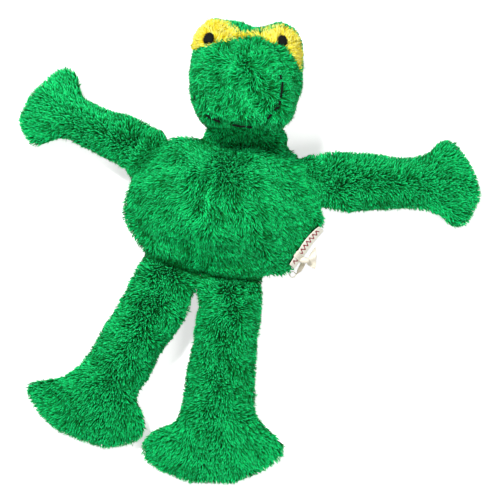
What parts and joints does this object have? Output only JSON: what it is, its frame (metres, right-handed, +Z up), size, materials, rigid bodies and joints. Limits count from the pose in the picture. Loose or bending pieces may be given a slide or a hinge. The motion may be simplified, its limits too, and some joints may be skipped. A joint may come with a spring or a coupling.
{
  "type": "plush frog toy",
  "caption": "Shaggy green plush frog lying on its back, stuffed body and head, floppy arms and legs that fold at their seams, yellow eyes and a stitched mouth.",
  "frame": {"origin": "where the back of the body rests on the floor, under the middle of the body", "axes": "+X to the right and +Y to the crown of the head as seen looking down on the belly; +Z up out of the belly"},
  "size_m": [0.3892, 0.389, 0.0907],
  "materials": {
    "green_pile": "shaggy pile",
    "green_pile_back": "shaggy pile",
    "yellow_pile": "short pile",
    "black_felt": "felt",
    "black_thread": "matte thread",
    "white_filling": "loose fibre",
    "cream_ribbon": "woven"
  },
  "bodies": {
    "body": {"belly_left_panel": "green_pile", "belly_right_panel": "green_pile", "back_panel": "green_pile_back", "body_stuffing": "white_filling"},
    "head": {"face_panel": "green_pile", "chin_panel": "green_pile", "head_back_panel": "green_pile_back", "eye_band": "yellow_pile", "left_pupil": "black_felt", "right_pupil": "black_felt", "mouth_thread": "black_thread", "head_stuffing": "white_filling"},
    "left_arm": {"left_arm_front_panel": "green_pile", "left_arm_back_panel": "green_pile_back", "left_arm_stuffing": "white_filling"},
    "right_arm": {"right_arm_front_panel": "green_pile", "right_arm_back_panel": "green_pile_back", "right_arm_stuffing": "white_filling"},
    "left_leg": {"left_leg_front_panel": "green_pile", "left_leg_back_panel": "green_pile_back", "left_leg_stuffing": "white_filling"},
    "right_leg": {"right_leg_front_panel": "green_pile", "right_leg_back_panel": "green_pile_back", "right_leg_stuffing": "white_filling"},
    "woven_label": {"woven_label": "cream_ribbon"},
    "care_label": {"care_label": "cream_ribbon"}
  },
  "joints": [
    {"name": "neck_seam", "type": "hinge", "parent": "body", "child": "head", "pos_m": [0.0207, 0.0582, 0.03], "axis": [0.9998, -0.0174, 0], "range_deg": [-35, 25]},
    {"name": "left_shoulder_seam", "type": "hinge", "parent": "body", "child": "left_arm", "pos_m": [-0.0626, 0.0427, 0.03], "axis": [0.6561, 0.7547, 0], "range_deg": [-70, 80]},
    {"name": "right_shoulder_seam", "type": "hinge", "parent": "body", "child": "right_arm", "pos_m": [0.0773, 0.0239, 0.03], "axis": [0.3156, -0.9489, 0], "range_deg": [-70, 80]},
    {"name": "left_hip_seam", "type": "hinge", "parent": "body", "child": "left_leg", "pos_m": [-0.04256, -0.04448, 0.03], "axis": [-0.9871, 0.1599, 0], "range_deg": [-70, 80]},
    {"name": "right_hip_seam", "type": "hinge", "parent": "body", "child": "right_leg", "pos_m": [0.00956, -0.05292, 0.03], "axis": [-0.9871, 0.1599, 0], "range_deg": [-70, 80]},
    {"name": "woven_label_seam", "type": "hinge", "parent": "body", "child": "woven_label", "pos_m": [0.0742, -0.0381, 0.03], "axis": [0.6225, 0.7826, 0], "range_deg": [0, 45]},
    {"name": "care_label_seam", "type": "hinge", "parent": "body", "child": "care_label", "pos_m": [0.0742, -0.0381, 0.03], "axis": [-0.6225, -0.7826, 0], "range_deg": [0, 18]}
  ]
}
